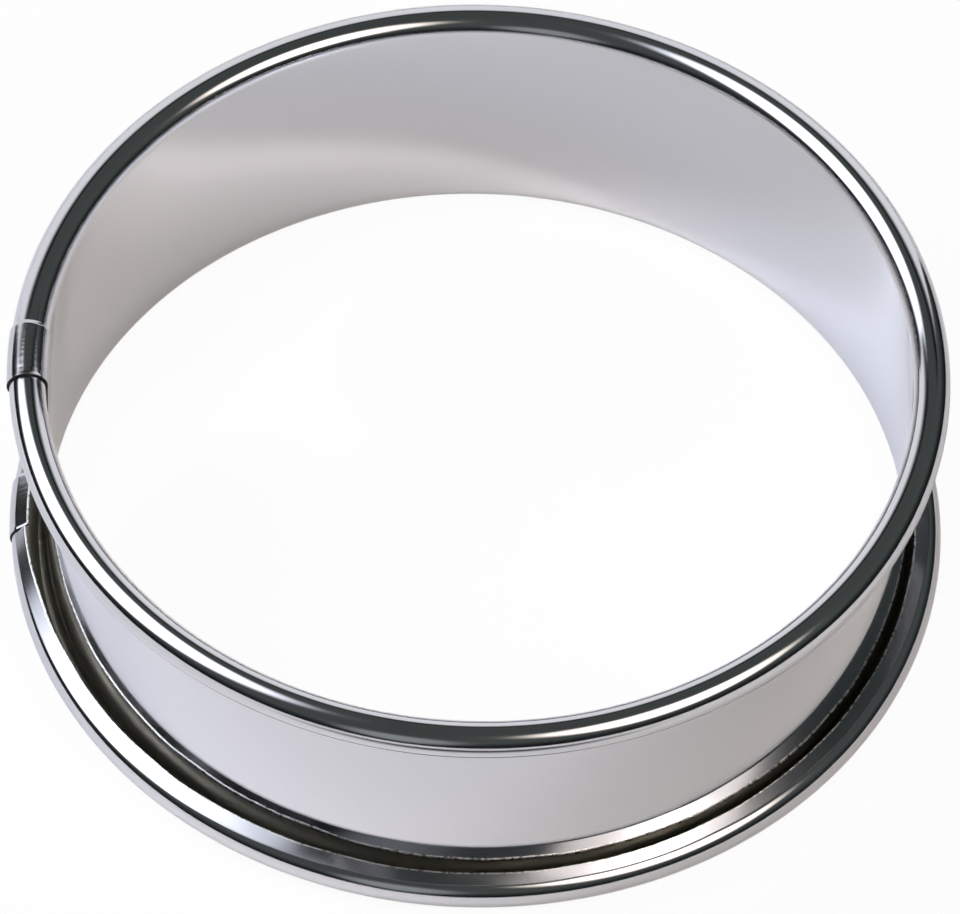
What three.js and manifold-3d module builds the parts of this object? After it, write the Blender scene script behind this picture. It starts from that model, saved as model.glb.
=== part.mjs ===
// Cake ring: one strip of bright tinned sheet steel rolled into a hoop. Both long edges are curled
// outwards into hollow beads. One end of the strip is swaged wider, the other end slides into it,
// and the two layers of wall in that lap are spot welded.
// Millimetres. The ring's axis is +Z and the beads stand on Z = 0.

import * as THREE from "three";
import { mergeVertices } from "three/addons/utils/BufferGeometryUtils.js";
import Module from "manifold-3d";

// The hoop
const INNER_DIAMETER = 90;
const HEIGHT = 30;
const SHEET = 0.3;

// The curled edges: outside diameter of a bead, and how far the sheet is wound round it
const BEAD_DIAMETER = 3.8;
const CURL_WRAP = THREE.MathUtils.degToRad(290);

// The lap: where the swaged end's mouth stands, its length, the length over which it widens,
// the air between the two layers, and the room left in front of the end that slides in
const MOUTH_AZIMUTH = THREE.MathUtils.degToRad(183.5);
const LAP_LENGTH = 7;
const SWAGE_LENGTH = 1.2;
const LAP_CLEARANCE = 0.05;
const TONGUE_END_GAP = 0.4;

// The spot welds: fused nugget, distance between the two, depth of the electrode's dent,
// and the air round the nugget
const WELD_DIAMETER = 2.4;
const WELD_SPACING = 12;
const WELD_DENT = 0.04;
const WELD_GAP = 0.1;

// Fineness of the facets: how far a chord may leave the ring's circle, flats on a whole curl,
// steps along the lap and along its swage, and sides of a weld
const CHORD_ERROR = 0.05;
const CURL_FLATS = 12;
const LAP_STEPS = 6;
const SWAGE_STEPS = 4;
const WELD_SIDES = 24;

// Sizes that follow
const INNER_RADIUS = INNER_DIAMETER / 2;
const BEAD_RADIUS = BEAD_DIAMETER / 2;
const TUBE_RADIUS = INNER_RADIUS + BEAD_RADIUS;
const OUTER_RADIUS = TUBE_RADIUS + BEAD_RADIUS;
const FLAT_ANGLE = (2 * Math.PI) / CURL_FLATS;
const STRIP_RADIUS = INNER_RADIUS + SHEET / 2;
const TURN = 2 * Math.PI * STRIP_RADIUS;
const SWAGE_START = LAP_LENGTH - SWAGE_LENGTH;
const TONGUE_LENGTH = SWAGE_START - TONGUE_END_GAP;
const LAYER_STEP = SHEET + LAP_CLEARANCE;

const wasm = await Module();
wasm.setup();

// Evenly spaced values from one number to another, ends included.
function spaced(from, to, steps) {
  return Array.from({ length: steps + 1 }, (_, i) => from + ((to - from) * i) / steps);
}

// Distances along the strip, counted from the mouth of the swaged end, at which a section is set.
const facetAngle = 2 * Math.acos(1 - CHORD_ERROR / OUTER_RADIUS);
const hoopSteps = Math.ceil((TURN - LAP_LENGTH) / STRIP_RADIUS / facetAngle);
const hoopStations = [
  ...spaced(LAP_LENGTH, TURN, hoopSteps),
  ...spaced(TURN, TURN + TONGUE_LENGTH, LAP_STEPS).slice(1),
];
const lapStations = [
  ...spaced(0, SWAGE_START, LAP_STEPS),
  ...spaced(SWAGE_START, LAP_LENGTH, SWAGE_STEPS).slice(1),
];

// Azimuth of a point of the strip.
function azimuth(along) {
  return MOUTH_AZIMUTH - along / STRIP_RADIUS;
}

// How far the swaged end stands off the plain strip: a whole layer in the lap, fading out behind it.
function swage(along) {
  return LAYER_STEP * (1 - THREE.MathUtils.smoothstep(along, SWAGE_START, LAP_LENGTH));
}

// Distance, in the direction of an angle, to a round of flats that each lie at the same distance.
function flatsRadius(distance, angle) {
  return distance / Math.cos(angle - FLAT_ANGLE * Math.round(angle / FLAT_ANGLE));
}

// Points of a round of flats between two angles, with a corner wherever two flats meet.
function flatsArc(centre, distance, from, to) {
  const firstCorner = (Math.floor(from / FLAT_ANGLE + 0.5) + 0.5) * FLAT_ANGLE;
  const angles = [from];
  for (let angle = firstCorner; angle < to; angle += FLAT_ANGLE) {
    angles.push(angle);
  }
  angles.push(to);
  return angles.map((angle) => {
    const radius = flatsRadius(distance, angle);
    return new THREE.Vector2(Math.cos(angle), Math.sin(angle)).multiplyScalar(radius).add(centre);
  });
}

// Section of the lower curl, radius across and height up: from the wall it runs down, out and up again.
const lowerCentre = new THREE.Vector2(TUBE_RADIUS, BEAD_RADIUS);
const upperCentre = new THREE.Vector2(TUBE_RADIUS, HEIGHT - BEAD_RADIUS);
const lowerCurl = [
  ...flatsArc(lowerCentre, BEAD_RADIUS, Math.PI, Math.PI + CURL_WRAP),
  ...flatsArc(lowerCentre, BEAD_RADIUS - SHEET, Math.PI, Math.PI + CURL_WRAP).reverse(),
];

// The upper curl is the lower one turned over.
const upperCurl = lowerCurl.map((point) => new THREE.Vector2(point.x, HEIGHT - point.y));

// Section of the plain wall between the two curls.
const wallSection = [
  new THREE.Vector2(INNER_RADIUS, lowerCentre.y),
  new THREE.Vector2(INNER_RADIUS + SHEET, lowerCentre.y),
  new THREE.Vector2(INNER_RADIUS + SHEET, upperCentre.y),
  new THREE.Vector2(INNER_RADIUS, upperCentre.y),
];

// The ways a point of a section moves as its end is swaged: a curl's away from the middle of its
// tube, the wall's towards the ring's axis, and the plain strip's not at all.
function widenCurl(centre) {
  return (point, along) => {
    const arm = point.clone().sub(centre);
    const reach = arm.length() + flatsRadius(swage(along), Math.atan2(arm.y, arm.x));
    return arm.setLength(reach).add(centre);
  };
}

function widenWall(point, along) {
  return new THREE.Vector2(point.x - swage(along), point.y);
}

function keepPlain(point) {
  return point;
}

// A length of strip: its section is extruded straight, one unit to each station, then rolled round
// the ring's axis.
function rolled(section, stations, widen) {
  const steps = stations.length - 1;
  const geometry = new THREE.ExtrudeGeometry(new THREE.Shape(section), {
    depth: steps,
    steps,
    bevelEnabled: false,
  });
  const position = geometry.attributes.position;
  for (let i = 0; i < position.count; i++) {
    const along = stations[Math.round(position.getZ(i))];
    const point = widen(new THREE.Vector2(position.getX(i), position.getY(i)), along);
    const angle = azimuth(along);
    position.setXYZ(i, point.x * Math.cos(angle), point.x * Math.sin(angle), point.y);
  }
  geometry.computeVertexNormals();
  return geometry;
}

// A geometry as a solid that can be cut, and a cut solid as a geometry.
function solidFrom(geometry) {
  const bare = geometry.clone();
  bare.deleteAttribute("normal");
  bare.deleteAttribute("uv");
  const merged = mergeVertices(bare);
  return new wasm.Manifold(
    new wasm.Mesh({
      numProp: 3,
      vertProperties: merged.attributes.position.array,
      triVerts: new Uint32Array(merged.index.array),
    }),
  );
}

function geometryFrom(solid) {
  const mesh = solid.getMesh();
  const geometry = new THREE.BufferGeometry();
  geometry.setAttribute("position", new THREE.BufferAttribute(mesh.vertProperties, 3));
  geometry.setIndex(new THREE.BufferAttribute(mesh.triVerts, 1));
  geometry.computeVertexNormals();
  return geometry;
}

// The welds lie half way along the tongue, in the middle of the two layers, above and below half height.
const weldAzimuth = azimuth(TONGUE_LENGTH / 2);
const weldRadius = INNER_RADIUS - LAP_CLEARANCE / 2;
const weldLength = 2 * SHEET + LAP_CLEARANCE - 2 * WELD_DENT;
const weldHeights = {
  upper_spot_weld: (HEIGHT + WELD_SPACING) / 2,
  lower_spot_weld: (HEIGHT - WELD_SPACING) / 2,
};

// A round bar along the radius through the lap at a height.
function placeAtWeld(object, height) {
  object.position.set(weldRadius * Math.cos(weldAzimuth), weldRadius * Math.sin(weldAzimuth), height);
  object.rotation.z = weldAzimuth - Math.PI / 2;
  object.updateMatrix();
  return object;
}

// A layer of wall with a hole for each weld, longer than both layers together.
function withWeldHoles(geometry) {
  const bar = new THREE.CylinderGeometry(
    WELD_DIAMETER / 2 + WELD_GAP,
    WELD_DIAMETER / 2 + WELD_GAP,
    2 * LAYER_STEP + BEAD_DIAMETER,
    WELD_SIDES,
  );
  let solid = solidFrom(geometry);
  for (const height of Object.values(weldHeights)) {
    const place = placeAtWeld(new THREE.Object3D(), height);
    solid = solid.subtract(solidFrom(bar.clone().applyMatrix4(place.matrix)));
  }
  return geometryFrom(solid);
}

// Finishes: the wall keeps the satin of the rolled sheet, the curls are burnished by the rollers,
// the swaged ends are a little scuffed, and the welds are dull.
const FINISHES = {
  wall: { color: 0xc8c8cc, roughness: 0.22, metalness: 1 },
  bead: { color: 0xd4d4d6, roughness: 0.1, metalness: 1 },
  swaged: { color: 0xcfcfd1, roughness: 0.16, metalness: 1 },
  weld: { color: 0x9d9a98, roughness: 0.4, metalness: 1 },
};

function piece(name, geometry, finish) {
  const mesh = new THREE.Mesh(geometry, new THREE.MeshStandardMaterial(FINISHES[finish]));
  mesh.name = name;
  return mesh;
}

const ring = new THREE.Group();
ring.name = "cake_ring";

// The plain strip, from behind the swage once round to the tongue inside it.
const plainStrip = new THREE.Group();
plainStrip.add(piece("wall_band", withWeldHoles(rolled(wallSection, hoopStations, keepPlain)), "wall"));
plainStrip.add(piece("top_bead", rolled(upperCurl, hoopStations, keepPlain), "bead"));
plainStrip.add(piece("bottom_bead", rolled(lowerCurl, hoopStations, keepPlain), "bead"));
ring.add(plainStrip);

// The swaged end, which wraps the tongue: its wall lies inside the hoop.
const swagedEnd = new THREE.Group();
swagedEnd.add(piece("inner_lap", withWeldHoles(rolled(wallSection, lapStations, widenWall)), "wall"));
swagedEnd.add(piece("top_sleeve", rolled(upperCurl, lapStations, widenCurl(upperCentre)), "swaged"));
swagedEnd.add(piece("bottom_sleeve", rolled(lowerCurl, lapStations, widenCurl(lowerCentre)), "swaged"));
ring.add(swagedEnd);

// The welds that hold the lap.
const welds = new THREE.Group();
for (const [name, height] of Object.entries(weldHeights)) {
  const nugget = new THREE.CylinderGeometry(
    WELD_DIAMETER / 2,
    WELD_DIAMETER / 2,
    weldLength,
    WELD_SIDES,
  );
  welds.add(placeAtWeld(piece(name, nugget, "weld"), height));
}
ring.add(welds);

export default ring;
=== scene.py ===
"""Looks of the cake ring: a hoop of bright tinplate with curled edges, on a white studio table."""
import bpy
import numpy as np
from mathutils import Matrix, Vector


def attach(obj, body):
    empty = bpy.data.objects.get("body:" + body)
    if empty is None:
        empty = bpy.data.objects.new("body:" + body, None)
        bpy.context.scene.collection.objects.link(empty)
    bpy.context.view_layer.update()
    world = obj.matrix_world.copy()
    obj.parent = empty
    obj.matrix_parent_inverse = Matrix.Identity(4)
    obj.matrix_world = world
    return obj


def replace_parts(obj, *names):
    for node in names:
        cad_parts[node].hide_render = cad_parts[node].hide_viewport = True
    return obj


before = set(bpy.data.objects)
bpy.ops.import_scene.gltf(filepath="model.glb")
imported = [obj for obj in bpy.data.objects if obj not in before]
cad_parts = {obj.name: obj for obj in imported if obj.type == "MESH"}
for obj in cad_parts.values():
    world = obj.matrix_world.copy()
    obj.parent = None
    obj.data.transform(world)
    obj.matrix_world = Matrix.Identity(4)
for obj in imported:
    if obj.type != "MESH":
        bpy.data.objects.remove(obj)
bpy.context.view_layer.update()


# The straight wall: a band of rolled tinplate, once round, whose last few millimetres lie outside the
# swaged end in the lap. The rolling mill leaves a soft, nearly mirror-like surface with a faint grain.
MM = 0.001                  # sizes here are in millimetres, meshes in metres
INNER_RADIUS = 45.0
HEIGHT = 30.0
SHEET = 0.3
BEAD_RADIUS = 1.9
STRIP_RADIUS = INNER_RADIUS + SHEET / 2
TURN = 2 * np.pi * STRIP_RADIUS
SEAM_RUN = 0.6              # straight stretch of wall that is drawn with each bead, so the finish runs on
HOOP_WAVES = ((0.05, 2, 0.6 + np.pi / 2), (0.012, 5, 0.0), (0.004, 11, 2.0))    # depth, number, phase
HOOP_STEPS = 640
TONGUE_STEPS = 40

MOUTH_AZIMUTH = np.radians(183.5)
LAP_LENGTH = 7.0
TONGUE_LENGTH = 5.4
LAYER_STEP = 0.32           # one sheet and a little air
SWAGE_STEP = 0.22           # the share of that step that the swaged end takes, the plain end takes the rest
SWAGE_START = 6.4           # the swaged end is plain up to here, and its shoulder ends with the lap
CRIMP_LEAD = 0.1            # the plain end starts to narrow this far in front of the mouth
CRIMP_LENGTH = 0.6

WELD_ALONG = TONGUE_LENGTH / 2
WELD_HEIGHTS = (21.0, 9.0)
WELD_RADIUS = 1.2
WELD_DENT = 0.04
DENT_EDGE = 0.2
DENT_REACH = 1.6            # the wall's rows are close together this far above and below a weld
DENT_ROWS = 17
WALL_ROWS = 12
CREASE_ANGLE = np.radians(35)


def linear(hex_colour):
    """Turns an sRGB hex colour into linear RGBA, by the sRGB transfer curve."""
    srgb = np.array([int(hex_colour[i:i + 2], 16) for i in (1, 3, 5)]) / 255
    rgb = np.where(srgb <= 0.04045, srgb / 12.92, ((srgb + 0.055) / 1.055) ** 2.4)
    return (*rgb.tolist(), 1.0)


def add(tree, kind, links=None, **settings):
    """Adds a shader node: settings are its properties, links its sockets' values or source sockets."""
    made = tree.nodes.new(kind)
    for key, value in settings.items():
        setattr(made, key, value)
    for key, value in (links or {}).items():
        socket = made.inputs[key]
        if isinstance(value, bpy.types.NodeSocket):
            tree.links.new(value, socket)
        else:
            socket.default_value = value
    return made


def smooth_step(t):
    """Nothing below 0, one above 1, and between them three times the square less twice the cube."""
    t = np.clip(t, 0, 1)
    return t * t * (3 - 2 * t)


def hoop_wave(azimuth):
    """Radial error of the hoop, mm: the sum of a few sines, each with whole waves round the ring, as
    hand-fed rollers leave."""
    return sum(depth * np.sin(number * azimuth + phase) for depth, number, phase in HOOP_WAVES)


def on_strip(along, radius, height):
    """Points in metres: at distance s from the mouth the azimuth is the mouth's minus s over the strip's
    radius, and a point is (radius plus the hoop's wave, azimuth, height)."""
    azimuth = MOUTH_AZIMUTH - along / STRIP_RADIUS
    reach = radius + hoop_wave(azimuth)
    return np.stack([reach * np.cos(azimuth), reach * np.sin(azimuth), height], -1) * MM


def placed(name, points, faces, slots, materials):
    """A smooth mesh with sharp creases that rides on the ring, each face with its slot's material."""
    mesh = bpy.data.meshes.new(name)
    mesh.from_pydata(points, [], faces)
    for material in materials:
        mesh.materials.append(material)
    mesh.polygons.foreach_set("material_index", slots)
    mesh.polygons.foreach_set("use_smooth", np.ones(len(faces), bool))
    mesh.set_sharp_from_angle(angle=CREASE_ANGLE)
    piece = bpy.data.objects.new(name, mesh)
    bpy.context.scene.collection.objects.link(piece)
    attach(piece, "root")
    return piece


def rolled(name, radius, height, along, materials, column_slots=0):
    """Closed sections carried along the strip, one for each station, with both ends capped. Each column of
    faces has its material slot, and the caps have the second, the cut end. The attribute on_sheet keeps
    each point's place on the flat sheet: millimetres along the strip and round the section."""
    points = on_strip(along[:, None], radius, height).reshape(-1, 3)
    rows, columns = radius.shape
    i, j = np.meshgrid(np.arange(rows - 1), np.arange(columns), indexing="ij")
    k = (j + 1) % columns
    quads = np.stack([i * columns + j, i * columns + k, (i + 1) * columns + k, (i + 1) * columns + j], -1)
    section = np.stack([radius[0], height[0]], -1)
    ahead = np.roll(section, -1, 0)
    turns_left = np.sum(section[:, 0] * ahead[:, 1] - ahead[:, 0] * section[:, 1]) > 0
    first, last = np.arange(columns), np.arange(columns) + (rows - 1) * columns
    faces = quads.reshape(-1, 4).tolist() + [first[::-1].tolist(), last.tolist()]
    if not turns_left:
        faces = [face[::-1] for face in faces]
    slots = np.append(np.broadcast_to(column_slots, quads.shape[:2]).ravel(), [1, 1])
    piece = placed(name, points, faces, slots, materials)
    around = np.append(0, np.cumsum(np.hypot(*np.diff(section, axis=0).T)))
    on_sheet = np.stack(np.broadcast_arrays(along[:, None], around[None, :], 0.0), -1)
    sheet = piece.data.attributes.new("on_sheet", "FLOAT_VECTOR", "POINT")
    sheet.data.foreach_set("vector", on_sheet.ravel())
    return piece


def weld_dent(along, height):
    """Depth of the electrodes' dents in the lap: a flat-bottomed dish round each weld, with its edge
    rounded by a smooth step."""
    depth = 0 * along * height
    for weld_height in WELD_HEIGHTS:
        off = np.hypot(along - WELD_ALONG, height - weld_height)
        depth = depth + WELD_DENT * smooth_step((WELD_RADIUS + DENT_EDGE - off) / (2 * DENT_EDGE))
    return depth


def wall_section(stand_off, along, dented_face):
    """A thin upright rectangle for each station, moved towards the axis by that station's stand-off, with
    the welds' dents pressed into one face: 0 for the outer, 1 for the inner."""
    low = BEAD_RADIUS + SEAM_RUN
    near_welds = np.add.outer(WELD_HEIGHTS, np.linspace(-DENT_REACH, DENT_REACH, DENT_ROWS)).ravel()
    rising = np.sort(np.concatenate([np.linspace(low, HEIGHT - low, WALL_ROWS), near_welds]))
    heights = np.concatenate([rising, rising[::-1]])
    face = np.repeat([0, 1], len(rising))
    dent = weld_dent(along[:, None], heights[None, :]) * (face == dented_face) * (2 * face - 1)
    radius = INNER_RADIUS + SHEET * (1 - face) - stand_off[:, None] + dent
    return radius, np.broadcast_to(heights, radius.shape)


def bare_metal(name, colour):
    """A plain metal to which a finish is added: its material, node tree and surface shader."""
    material = bpy.data.materials.new(name)
    material.use_nodes = True
    surface = material.node_tree.nodes["Principled BSDF"]
    surface.inputs["Metallic"].default_value = 1.0
    surface.inputs["Base Color"].default_value = linear(colour)
    return material, material.node_tree, surface


PATCH_SIZE = 9.0            # width of the duller and brighter patches that the tin bath leaves


def tinplate(name, colour, roughness, grain_depth, grain_size, grain_length):
    """Tin on steel: a metal whose roughness drifts in soft patches, with a grain drawn out along the strip
    by the rollers. The grain's depth, width and length are in mm. The real grain is several times finer,
    and is drawn this coarse to show."""
    material, tree, surface = bare_metal(name, colour)
    place = add(tree, "ShaderNodeTexCoord").outputs["Object"]
    patches = add(tree, "ShaderNodeTexNoise", {"Vector": place, "Scale": 1 / (PATCH_SIZE * MM), "Detail": 3.0})
    sheen = add(tree, "ShaderNodeMapRange", {
        "Value": patches.outputs["Fac"], "From Min": 0.3, "From Max": 0.7,
        "To Min": roughness * 0.85, "To Max": roughness * 1.2})
    sheet = add(tree, "ShaderNodeAttribute", attribute_name="on_sheet").outputs["Vector"]
    drawn = add(tree, "ShaderNodeVectorMath", {0: sheet, 1: (1 / grain_length, 1 / grain_size, 0)},
                operation="MULTIPLY")
    grain = add(tree, "ShaderNodeTexNoise", {"Vector": drawn.outputs[0], "Scale": 1.0, "Detail": 2.0})
    bump = add(tree, "ShaderNodeBump", {
        "Height": grain.outputs["Fac"], "Distance": grain_depth * MM, "Strength": 1.0})
    tree.links.new(sheen.outputs["Result"], surface.inputs["Roughness"])
    tree.links.new(bump.outputs["Normal"], surface.inputs["Normal"])
    return material


TORN_SIZE = 0.6             # width of the facets that the shears tear
TORN_DEPTH = 0.07


def sheared_steel(name, colour, least_roughness, most_roughness):
    """Raw edge of the sheet: torn steel under the tin, whose bright and dull facets change every half
    millimetre or so."""
    material, tree, surface = bare_metal(name, colour)
    place = add(tree, "ShaderNodeTexCoord").outputs["Object"]
    torn = add(tree, "ShaderNodeTexNoise", {"Vector": place, "Scale": 1 / (TORN_SIZE * MM), "Detail": 3.0})
    sheen = add(tree, "ShaderNodeMapRange", {
        "Value": torn.outputs["Fac"], "From Min": 0.35, "From Max": 0.65,
        "To Min": least_roughness, "To Max": most_roughness})
    bump = add(tree, "ShaderNodeBump", {
        "Height": torn.outputs["Fac"], "Distance": TORN_DEPTH * MM, "Strength": 1.0})
    tree.links.new(sheen.outputs["Result"], surface.inputs["Roughness"])
    tree.links.new(bump.outputs["Normal"], surface.inputs["Normal"])
    return material


def swage(along):
    """Stand-off of the swaged end: the same from its mouth on, then fading by a smooth step to nothing."""
    return SWAGE_STEP * (1 - smooth_step((along - SWAGE_START) / (LAP_LENGTH - SWAGE_START)))


def crimp(along):
    """How far the plain end gives way in the lap: the rest of one layer, fading in by a smooth step at the
    mouth."""
    return (LAYER_STEP - swage(along - TURN)) * smooth_step((along - TURN + CRIMP_LEAD) / CRIMP_LENGTH)


# The wall mirrors softly; the strip's cut ends are near-black, painted shade of the gap at the sleeves' mouths.
WALL_TIN = tinplate("bright_rolled_tinplate", "#dadade", 0.055, 0.00015, 0.2, 2.5)
# The cut ends' dark colour is painted shade, standing in for the shadowed gap under each sleeve's lip.
PAINTED_SHADE_CUT_END = sheared_steel("cut_end_painted_dark_as_shade", "#363636", 0.4, 0.6)

hoop = np.concatenate([np.linspace(LAP_LENGTH, TURN, HOOP_STEPS),
                       np.linspace(TURN, TURN + TONGUE_LENGTH, TONGUE_STEPS + 1)[1:]])
wall = rolled("wall", *wall_section(-crimp(hoop), hoop - TURN, 0), hoop, [WALL_TIN, PAINTED_SHADE_CUT_END])
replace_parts(wall, "wall_band")


# The inner layer of the lap: the swaged end of the wall, pressed inwards by most of one sheet. The plain
# end lies behind it and gives way by the rest.
LAP_STEPS = 210

lap = np.linspace(0, LAP_LENGTH, LAP_STEPS + 1)
inner_lap = rolled("inner_lap_layer", *wall_section(swage(lap), lap, 1), lap, [WALL_TIN, PAINTED_SHADE_CUT_END])
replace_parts(inner_lap, "inner_lap")


# The two beads: each long edge of the strip, curled outwards by rollers into a hollow tube that stays
# open by a slit. The rollers burnish the tin, and the sheared edge is left raw.
TUBE_RADIUS = INNER_RADIUS + BEAD_RADIUS
FREE_LENGTH = 1.4           # straight end of the sheet, which the rollers can't bend
CURL_STEPS = 46
FREE_STEPS = 14
EDGE_STEPS = 7
WALL_SIDE_STEPS = 12        # steps of the curl's inside, next to the wall, that are as bright as its outside
BURNISHED, CUT, HOLLOW, FREE, RAW = range(5)
CURL_SLOTS = np.repeat(
    [BURNISHED, FREE, RAW, HOLLOW, BURNISHED],
    [CURL_STEPS + 1, FREE_STEPS, EDGE_STEPS + 1, FREE_STEPS + CURL_STEPS - WALL_SIDE_STEPS, WALL_SIDE_STEPS + 2])


def curl_end(azimuth):
    """Angle at which the tight curl stops, in degrees past a whole turn from outwards: 60, with 12 more on
    the right of the ring and 12 less on the left, a little unsteady, and 13 less at the plain end, which
    lies one turn on from the mouth, fading over 10 degrees of azimuth."""
    unsteady = 0.9 * np.sin(23 * azimuth) + 0.6 * np.sin(37 * azimuth + 1)
    opened = 13 * np.exp(-((azimuth - MOUTH_AZIMUTH + 2 * np.pi) / np.radians(10)) ** 2)
    return 2 * np.pi + np.radians(60 + 12 * np.cos(azimuth - np.radians(340)) + unsteady - opened)


def crease(azimuth):
    """Angle by which the free end is kinked over by the roller's rim: 6 degrees, and 13 more on the right
    of the ring, blended by a smooth step of the cosine from there."""
    return np.radians(6 + 13 * smooth_step((np.cos(azimuth - np.radians(315)) - 0.38) / 0.25))


def ragged(azimuth):
    """Error of the sheared edge, mm: a hundredth or so, in short waves of several lengths."""
    return 0.012 * np.sin(97 * azimuth) * np.sin(41 * azimuth + 1) + 0.009 * np.sin(223 * azimuth + 2)


def curl_section(stand_off, azimuth, worn=0.0):
    """The lower curl at each station: down the wall, round the tube's outside, straight on along the free
    end, over the rounded cut edge, and back along the inside. The free end leaves the round at its crease's
    angle. The stand-off widens the whole curl, and the outside is worn down."""
    stop = curl_end(azimuth)[:, None]
    lean = stop + crease(azimuth)[:, None]
    turn = np.pi + (stop - np.pi) * np.linspace(0, 1, CURL_STEPS)
    free = (FREE_LENGTH + ragged(azimuth)[:, None]) * np.linspace(0, 1, FREE_STEPS + 1)[1:]
    edge = np.linspace(0, np.pi, EDGE_STEPS + 2)[1:-1] + lean

    def face(depth):
        reach = BEAD_RADIUS + stand_off[:, None] - depth
        across = np.concatenate([reach * np.cos(turn), reach * np.cos(stop) - free * np.sin(lean)], 1)
        rise = np.concatenate([reach * np.sin(turn), reach * np.sin(stop) + free * np.cos(lean)], 1)
        return across, rise

    outer, inner = face(np.broadcast_to(worn, len(stand_off))[:, None]), face(SHEET)
    edge_across = (outer[0] + inner[0])[:, -1:] / 2 + SHEET / 2 * np.cos(edge)
    edge_rise = (outer[1] + inner[1])[:, -1:] / 2 + SHEET / 2 * np.sin(edge)
    run = np.broadcast_to([SEAM_RUN, SEAM_RUN / 2], (len(stand_off), 2))
    across = np.concatenate([outer[0][:, :1] + 0 * run, outer[0], edge_across, inner[0][:, ::-1],
                             inner[0][:, :1] + 0 * run], 1)
    rise = np.concatenate([run, outer[1], edge_rise, inner[1][:, ::-1], run[:, ::-1]], 1)
    return TUBE_RADIUS + across, BEAD_RADIUS + rise


# The rolled outside shines, the hollow is left dull and coloured dark olive as painted shade, the free end is
# roughened by the roller's rim and coloured a darker grey as painted shade on what it mirrors, and the raw edge
# sparkles.
BEAD_TIN = tinplate("burnished_tinplate", "#d9d9db", 0.1, 0.0018, 0.16, 4.0)
# The hollow's dark olive colour is painted shade of the tube's inside; its high roughness is its dull finish.
PAINTED_SHADE_HOLLOW_TIN = tinplate("dull_tinplate_painted_shade_in_the_curl", "#7f7c6e", 0.5, 0.002, 0.25, 1.2)
# The free end's darker grey is painted shade that dims what it mirrors; its roughness is the scuffing.
FREE_END_TIN_PAINTED_DARKER = tinplate("scuffed_tinplate_of_the_free_end_painted_darker", "#b3b4b8", 0.18, 0.0022, 0.16, 2.0)
RAW_EDGE = sheared_steel("sheared_steel_edge", "#dcdad6", 0.16, 0.5)
CURL_METALS = [BEAD_TIN, PAINTED_SHADE_CUT_END, PAINTED_SHADE_HOLLOW_TIN, FREE_END_TIN_PAINTED_DARKER, RAW_EDGE]

bead_radius, bead_height = curl_section(-crimp(hoop), MOUTH_AZIMUTH - hoop / STRIP_RADIUS)
bottom_bead = rolled("lower_bead", bead_radius, bead_height, hoop, CURL_METALS, CURL_SLOTS)
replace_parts(bottom_bead, "bottom_bead")

top_bead = rolled("upper_bead", bead_radius, HEIGHT - bead_height, hoop, CURL_METALS, CURL_SLOTS)
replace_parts(top_bead, "top_bead")


# The sleeves: the swaged ends of the beads, opened by a mandrel that leaves fine chatter across them and
# a slightly flared lip, and slid over the plain ends. The lower lip is rounded over by handling.
CHATTER_PITCH = 0.65
CHATTER_DEPTH = 0.0008
CHATTER_FADE = 2.0          # the chatter dies out over this length in front of the shoulder's end
LIP_FLARE = 0.03
LIP_LENGTH = 0.3
LIP_ROUND = 0.07
LIP_ROUND_LENGTH = 0.35

# The mandrel leaves a bright finish that is a little coarser than the beads'.
SLEEVE_TIN = tinplate("swaged_tinplate", "#d3d3d5", 0.12, 0.0035, 0.14, 5.0)
SLEEVE_METALS = [SLEEVE_TIN, PAINTED_SHADE_CUT_END, PAINTED_SHADE_HOLLOW_TIN, SLEEVE_TIN, RAW_EDGE]

lap_azimuth = MOUTH_AZIMUTH - lap / STRIP_RADIUS
chatter = CHATTER_DEPTH * np.sin(2 * np.pi * (lap + 0.2 * np.sin(1.7 * lap)) / CHATTER_PITCH)
chatter = chatter * np.clip((LAP_LENGTH - lap) / CHATTER_FADE, 0, 1)
sleeve_off = swage(lap) + chatter + LIP_FLARE * np.exp(-lap / LIP_LENGTH)
lip_worn = LIP_ROUND * np.clip(1 - lap / LIP_ROUND_LENGTH, 0, 1) ** 2

lower_radius, lower_height = curl_section(sleeve_off, lap_azimuth, lip_worn)
bottom_sleeve = rolled("lower_sleeve", lower_radius, lower_height, lap, SLEEVE_METALS, CURL_SLOTS)
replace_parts(bottom_sleeve, "bottom_sleeve")

upper_radius, upper_height = curl_section(sleeve_off, lap_azimuth)
top_sleeve = rolled("upper_sleeve", upper_radius, HEIGHT - upper_height, lap, SLEEVE_METALS, CURL_SLOTS)
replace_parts(top_sleeve, "top_sleeve")


# The spot welds: nuggets fused through both layers of the lap by a pair of electrodes, which leave a dull
# round print with a ring of heat tint on each face.
WELD_PROUD = 0.006
WELD_RINGS = 20
WELD_SIDES = 64
PIT_SIZE = 0.15
PIT_DEPTH = 0.008
HEAT_TINTS = ((0.0, "#b4b3b1"), (0.6, "#a9a6a2"), (0.84, "#a99c86"), (0.96, "#8d939d"), (1.0, "#bdbdbf"))


def shade(ramp, stops):
    """Gives a colour ramp its stops, each a position and a colour."""
    while len(ramp.elements) < len(stops):
        ramp.elements.new(0.5)
    for stop, (position, colour) in zip(ramp.elements, stops):
        stop.position = position
        stop.color = linear(colour)


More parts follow.
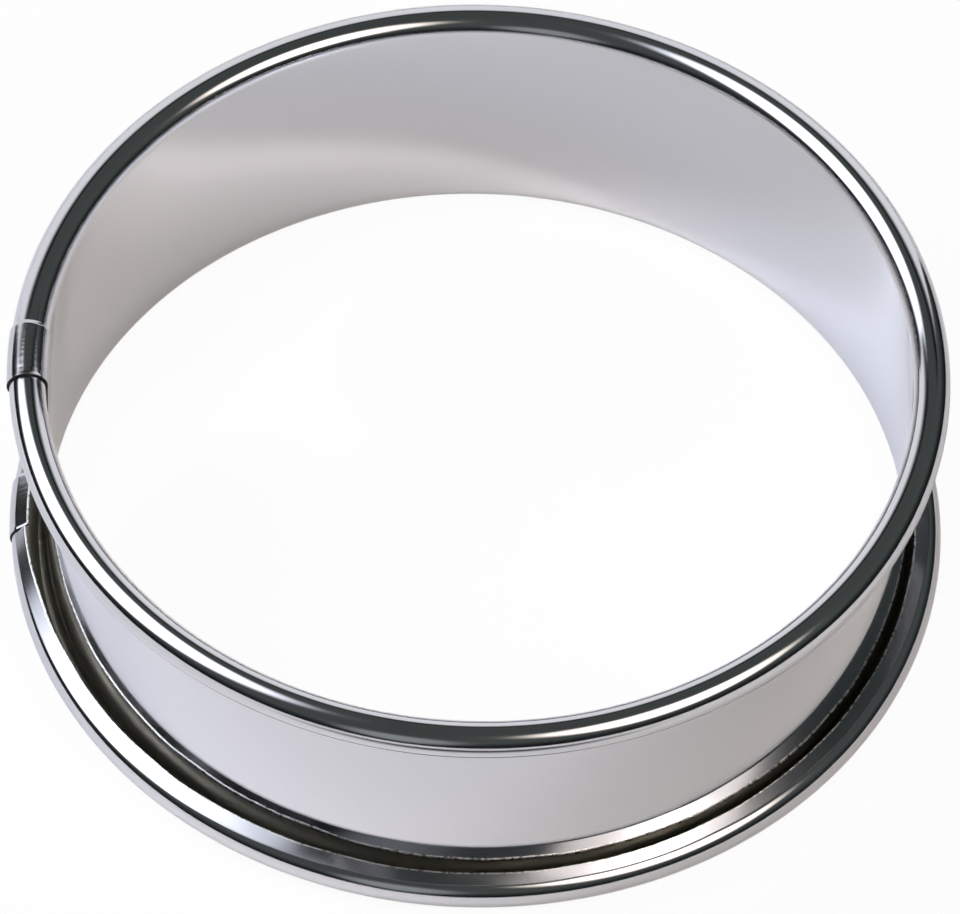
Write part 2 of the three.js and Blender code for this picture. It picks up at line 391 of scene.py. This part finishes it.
def weld_metal():
    """Tin burnt by the weld: grey in the print, straw and blue towards its edge, dull and a little pitted."""
    material, tree, surface = bare_metal("burnt_tin_weld", HEAT_TINTS[0][1])
    reach = add(tree, "ShaderNodeAttribute", attribute_name="print_radius").outputs["Fac"]
    place = add(tree, "ShaderNodeTexCoord").outputs["Object"]
    pits = add(tree, "ShaderNodeTexNoise", {"Vector": place, "Scale": 1 / (PIT_SIZE * MM), "Detail": 4.0})
    uneven = add(tree, "ShaderNodeMath", {0: pits.outputs["Fac"], 1: 0.25, 2: reach},
                 operation="MULTIPLY_ADD")
    tint = add(tree, "ShaderNodeValToRGB", {"Fac": uneven.outputs[0]})
    shade(tint.color_ramp, HEAT_TINTS)
    bump = add(tree, "ShaderNodeBump", {
        "Height": pits.outputs["Fac"], "Distance": PIT_DEPTH * MM, "Strength": 1.0})
    surface.inputs["Roughness"].default_value = 0.34
    tree.links.new(tint.outputs["Color"], surface.inputs["Base Color"])
    tree.links.new(bump.outputs["Normal"], surface.inputs["Normal"])
    return material


WELD_TIN = weld_metal()


def weld(name, weld_height):
    """A nugget: rings about the radius through the weld, from the middle of the inner print out to its edge,
    through both layers, and back to the middle of the outer print. Each print follows its dent."""
    ring = WELD_RADIUS * np.linspace(0, 1, WELD_RINGS)[1:]
    out = np.concatenate([ring, ring[::-1]])[:, None]
    side = np.repeat([0, 1], len(ring))[:, None]
    turn = np.linspace(0, 2 * np.pi, WELD_SIDES, endpoint=False)[None, :]
    along = WELD_ALONG + out * np.cos(turn)
    height = weld_height + out * np.sin(turn)
    dent = weld_dent(along, height)
    inner = INNER_RADIUS - swage(along) + dent - WELD_PROUD
    outer = INNER_RADIUS + SHEET + crimp(TURN + along) - dent + WELD_PROUD
    points = on_strip(along, np.where(side, outer, inner), height).reshape(-1, 3)
    middle = np.array([INNER_RADIUS - swage(WELD_ALONG) + WELD_DENT - WELD_PROUD,
                       INNER_RADIUS + SHEET + crimp(TURN + WELD_ALONG) - WELD_DENT + WELD_PROUD])
    poles = on_strip(np.full(2, WELD_ALONG), middle, np.full(2, weld_height))
    rows = 2 * len(ring)
    i, j = np.meshgrid(np.arange(rows - 1), np.arange(WELD_SIDES), indexing="ij")
    k = (j + 1) % WELD_SIDES
    corners = (i * WELD_SIDES + j, (i + 1) * WELD_SIDES + j, (i + 1) * WELD_SIDES + k, i * WELD_SIDES + k)
    quads = np.stack(corners, -1).reshape(-1, 4).tolist()
    first = np.arange(WELD_SIDES)
    last = first + (rows - 1) * WELD_SIDES
    start, stop = len(points), len(points) + 1
    fans = [(start, a, b) for a, b in zip(first.tolist(), np.roll(first, -1).tolist())]
    fans += [(stop, b, a) for a, b in zip(last.tolist(), np.roll(last, -1).tolist())]
    faces = quads + fans
    piece = placed(name, np.concatenate([points, poles]), faces, np.zeros(len(faces), int), [WELD_TIN])
    reach = piece.data.attributes.new("print_radius", "FLOAT", "POINT")
    reach.data.foreach_set("value", np.append(np.broadcast_to(out / WELD_RADIUS, along.shape), [0, 0]))
    return piece


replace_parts(weld("upper_weld_print", WELD_HEIGHTS[0]), "upper_spot_weld")
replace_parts(weld("lower_weld_print", WELD_HEIGHTS[1]), "lower_spot_weld")


# The studio: a white table with one tall white board behind it, a large cool softbox above on the left, a
# warm one at the front right, and a grey camera stand between them. The room round them is dark, as the
# beads in the photograph show it, so only the camera sees it white. Sizes from here on are in metres.
TABLE_HALF = 0.36
TABLE_LEVEL = -0.00041
TABLE_WHITE_SEEN = 0.95         # share of plain white in what the camera sees, the rest is lit paint
TABLE_WHITE_MIRRORED = 0.05     # and in what the metal mirrors
BOARD_LEFT, BOARD_RIGHT, BOARD_BACK, BOARD_TOP = -0.44, 0.3, 0.36, 0.45
BOARD_FADE = (0.245, 0.4)       # the board's light fades out between these heights
LAMP_DISTANCE = 0.6
ROOM_SHADES = ((0.0, "#151717"), (0.2, "#252828"), (0.5, "#4a4f4e"), (1.0, "#434847"))


def stage_paint(name):
    """A material with nothing in it yet but its output: the material, node tree and output socket."""
    material = bpy.data.materials.new(name)
    material.use_nodes = True
    tree = material.node_tree
    tree.nodes.remove(tree.nodes["Principled BSDF"])
    return material, tree, tree.nodes["Material Output"].inputs["Surface"]


def shown(name, corners, material):
    """A flat four-cornered stage piece."""
    mesh = bpy.data.meshes.new(name)
    mesh.from_pydata(corners, [], [(0, 1, 2, 3)])
    mesh.materials.append(material)
    made = bpy.data.objects.new(name, mesh)
    bpy.context.scene.collection.objects.link(made)
    return made


white, tree, output = stage_paint("white_table")
rays = add(tree, "ShaderNodeLightPath").outputs
paint = add(tree, "ShaderNodeBsdfDiffuse", {"Color": linear("#f1f1f3")})
glow = add(tree, "ShaderNodeEmission", {"Color": linear("#ffffff"), "Strength": 1.0})
looked_at = add(tree, "ShaderNodeMath", {0: rays["Is Camera Ray"], 1: rays["Is Transmission Ray"]},
                operation="MAXIMUM")
seen = add(tree, "ShaderNodeMath", {0: looked_at.outputs[0], 1: TABLE_WHITE_SEEN}, operation="MULTIPLY")
mirrored = add(tree, "ShaderNodeMath", {
    0: rays["Is Glossy Ray"], 1: TABLE_WHITE_MIRRORED, 2: seen.outputs[0]}, operation="MULTIPLY_ADD")
mixed = add(tree, "ShaderNodeMixShader", {0: mirrored.outputs[0], 1: paint.outputs[0], 2: glow.outputs[0]})
tree.links.new(mixed.outputs[0], output)
shown("table", [(x * TABLE_HALF, y * TABLE_HALF, TABLE_LEVEL) for x, y in ((-1, -1), (1, -1), (1, 1), (-1, 1))],
      white)

board_white, tree, output = stage_paint("back_board")
rise = add(tree, "ShaderNodeSeparateXYZ", {0: add(tree, "ShaderNodeTexCoord").outputs["Object"]}).outputs["Z"]
fade = add(tree, "ShaderNodeMapRange", {
    "Value": rise, "From Min": BOARD_FADE[0], "From Max": BOARD_FADE[1], "To Min": 1.0, "To Max": 0.0},
    interpolation_type="SMOOTHSTEP")
glow = add(tree, "ShaderNodeEmission", {"Color": linear("#f4f4fa"), "Strength": fade.outputs["Result"]})
tree.links.new(glow.outputs["Emission"], output)
board = shown("back_board", [(BOARD_LEFT, BOARD_BACK, 0), (BOARD_RIGHT, BOARD_BACK, 0),
                             (BOARD_RIGHT, BOARD_BACK, BOARD_TOP), (BOARD_LEFT, BOARD_BACK, BOARD_TOP)], board_white)
board.visible_camera = False
board.visible_shadow = False
board.visible_diffuse = False


def soft_oval(name, middle, facing, width, height, colour, strength, core=0.0, soft_from=0.5):
    """A shining oval that faces along a vector, with a hotter core in its inner third and edges that fade
    out from a share of its radius on."""
    material, tree, output = stage_paint(name)
    place = add(tree, "ShaderNodeTexCoord").outputs["Object"]
    scaled = add(tree, "ShaderNodeVectorMath", {0: place, 1: (2 / width, 2 / height, 0)}, operation="MULTIPLY")
    reach = add(tree, "ShaderNodeVectorMath", {0: scaled.outputs[0]}, operation="LENGTH").outputs["Value"]
    cover = add(tree, "ShaderNodeMapRange", {
        "Value": reach, "From Min": soft_from, "From Max": 1.0, "To Min": 1.0, "To Max": 0.0},
        interpolation_type="SMOOTHSTEP")
    heat = add(tree, "ShaderNodeMapRange", {
        "Value": reach, "From Min": 0.0, "From Max": 0.35, "To Min": strength + core, "To Max": strength},
        interpolation_type="SMOOTHSTEP")
    glow = add(tree, "ShaderNodeEmission", {"Color": linear(colour), "Strength": heat.outputs["Result"]})
    clear = add(tree, "ShaderNodeBsdfTransparent")
    mixed = add(tree, "ShaderNodeMixShader", {
        0: cover.outputs["Result"], 1: clear.outputs[0], 2: glow.outputs[0]})
    tree.links.new(mixed.outputs[0], output)
    x, y = width / 2, height / 2
    made = shown(name, [(-x, -y, 0), (x, -y, 0), (x, y, 0), (-x, y, 0)], material)
    made.location = middle
    made.rotation_euler = Vector(facing).to_track_quat("Z", "Y").to_euler()
    made.visible_camera = False
    made.visible_shadow = False
    return made


def toward(azimuth, elevation):
    """The point in a direction from the ring, given in degrees, at the lamps' distance."""
    flat = LAMP_DISTANCE * np.cos(np.radians(elevation))
    return Vector((flat * np.cos(np.radians(azimuth)), flat * np.sin(np.radians(azimuth)),
                   LAMP_DISTANCE * np.sin(np.radians(elevation))))


left_lamp = toward(168, 47.5)
right_lamp = toward(318, 52)
stand = toward(256, 24)
soft_oval("left_softbox", left_lamp, -left_lamp, 0.77, 0.77, "#f2f5ff", 2.7, core=13.0, soft_from=0.6)
soft_oval("right_softbox", right_lamp, -right_lamp, 0.53, 0.53, "#fff5ea", 2.6, core=20.0)

# The stand, and a strip of dark cloth on the table in front of the ring, show in reflections only.
camera_stand = soft_oval("camera_stand", stand, -stand, 0.32, 0.5, "#94989a", 1.0, soft_from=0.35)
camera_stand.visible_diffuse = False
dark_strip = soft_oval("dark_strip", (0.0, -0.108, 0.0005), (0, 0, 1), 0.18, 0.075, "#484a49", 1.0, soft_from=0.2)
dark_strip.visible_diffuse = False

world = bpy.data.worlds.new("dark_room")
bpy.context.scene.world = world
world.use_nodes = True
tree = world.node_tree
rays = add(tree, "ShaderNodeLightPath").outputs
aim = add(tree, "ShaderNodeTexCoord").outputs["Generated"]
rise = add(tree, "ShaderNodeSeparateXYZ", {0: aim}).outputs["Z"]
dark = add(tree, "ShaderNodeValToRGB", {"Fac": rise})
shade(dark.color_ramp, ROOM_SHADES)
room = add(tree, "ShaderNodeBackground", {"Color": dark.outputs["Color"], "Strength": 1.0})
blank = add(tree, "ShaderNodeBackground", {"Color": linear("#ffffff"), "Strength": 1.0})
looked_at = add(tree, "ShaderNodeMath", {0: rays["Is Camera Ray"], 1: rays["Is Transmission Ray"]},
                operation="MAXIMUM")
mixed = add(tree, "ShaderNodeMixShader", {0: looked_at.outputs[0], 1: room.outputs[0], 2: blank.outputs[0]})
tree.links.new(mixed.outputs[0], tree.nodes["World Output"].inputs["Surface"])


# The camera: a long lens well above the ring, rolled a little, as fitted to the outlines of both beads.
CAMERA_ELEVATION = np.radians(52.82)
CAMERA_ROLL = np.radians(1.34)
CAMERA_DISTANCE = 1.5612
CAMERA_SIDE = 0.000215
CAMERA_RISE = -0.000634
camera = bpy.data.objects.new("camera", bpy.data.cameras.new("camera"))
camera.data.sensor_width = 36.0
camera.data.lens = 560.6
back = Vector((0, -np.cos(CAMERA_ELEVATION), np.sin(CAMERA_ELEVATION)))
level = Vector((1, 0, 0))
upright = back.cross(level)
right = level * np.cos(CAMERA_ROLL) + upright * np.sin(CAMERA_ROLL)
up = upright * np.cos(CAMERA_ROLL) - level * np.sin(CAMERA_ROLL)
camera.matrix_world = Matrix((right, up, back)).transposed().to_4x4()
camera.location = (Vector((0, 0, HEIGHT / 2 * MM)) + back * CAMERA_DISTANCE
                   + right * CAMERA_SIDE + up * CAMERA_RISE)
bpy.context.scene.collection.objects.link(camera)
bpy.context.scene.camera = camera
bpy.context.scene.view_settings.view_transform = "Standard"
bpy.context.scene.cycles.blur_glossy = 0.0      # keeps the light that the wall throws on the table
